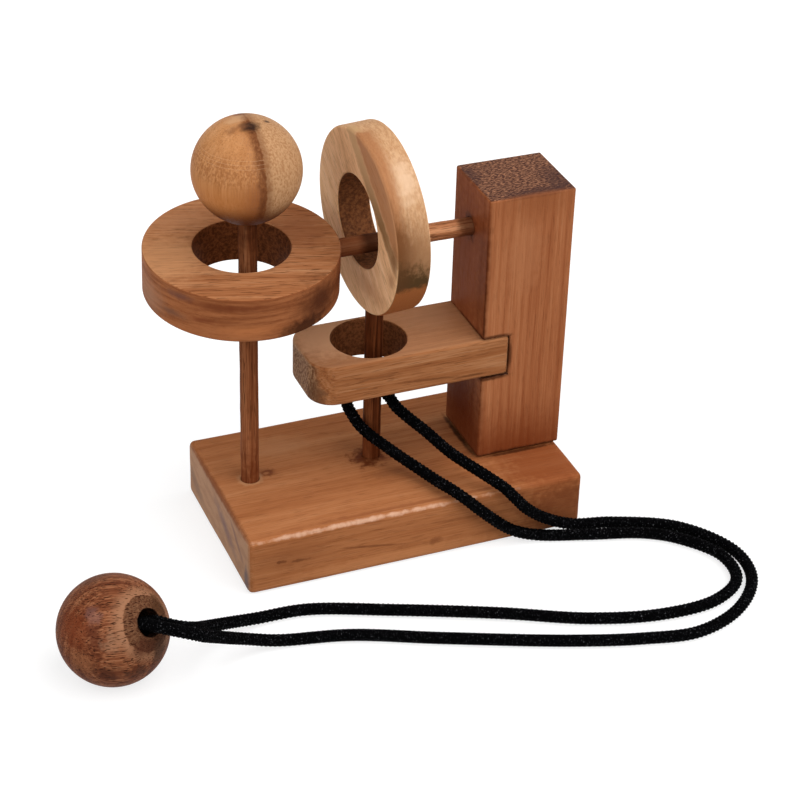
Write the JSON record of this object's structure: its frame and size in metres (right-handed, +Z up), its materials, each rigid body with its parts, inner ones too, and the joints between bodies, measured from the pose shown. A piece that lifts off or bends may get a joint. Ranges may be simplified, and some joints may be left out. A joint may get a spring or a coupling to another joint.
{
  "type": "string and ring puzzle",
  "caption": "Tabletop wooden disentanglement puzzle: base, post, drilled shelf, flat and upright rings on dowels, a ball, and a looped black cord with a bead on its ends.",
  "frame": {"origin": "middle of the base's underside", "axes": "+X along the base towards the post, +Y to the back, +Z up"},
  "size_m": [0.2326, 0.1416, 0.1541],
  "materials": {
    "base_wood": "oiled, satin",
    "post_wood": "oiled, satin",
    "shelf_wood": "oiled, satin",
    "flat_ring_wood": "oiled, satin",
    "upright_ring_wood": "oiled, satin",
    "ball_wood": "oiled, satin",
    "bead_wood": "oiled, satin",
    "dowel_wood": "oiled, satin",
    "peg_wood": "oiled, satin",
    "black_cord": "braided, matte"
  },
  "bodies": {
    "stand": {"base": "base_wood", "post": "post_wood", "post_peg_front": "peg_wood", "post_peg_back": "peg_wood", "shelf": "shelf_wood", "ball_dowel": "dowel_wood", "top_ball": "ball_wood", "flat_ring": "flat_ring_wood", "cross_dowel": "dowel_wood", "upright_ring": "upright_ring_wood", "ring_dowel": "dowel_wood"},
    "cord": {"cord_loop": "black_cord", "cord_knot": "black_cord"},
    "bead": {"bead": "bead_wood"}
  },
  "joints": [
    {"name": "loop_swing", "type": "hinge", "parent": "stand", "child": "cord", "pos_m": [-0.0037, 0.0029, 0.04], "axis": [0, 0, 1], "range_deg": [-12, 0]},
    {"name": "bead_spin", "type": "hinge", "parent": "cord", "child": "bead", "pos_m": [-0.1117, -0.056, 0.0176], "axis": [0.4863, -0.6868, 0.5402], "continuous": true}
  ]
}
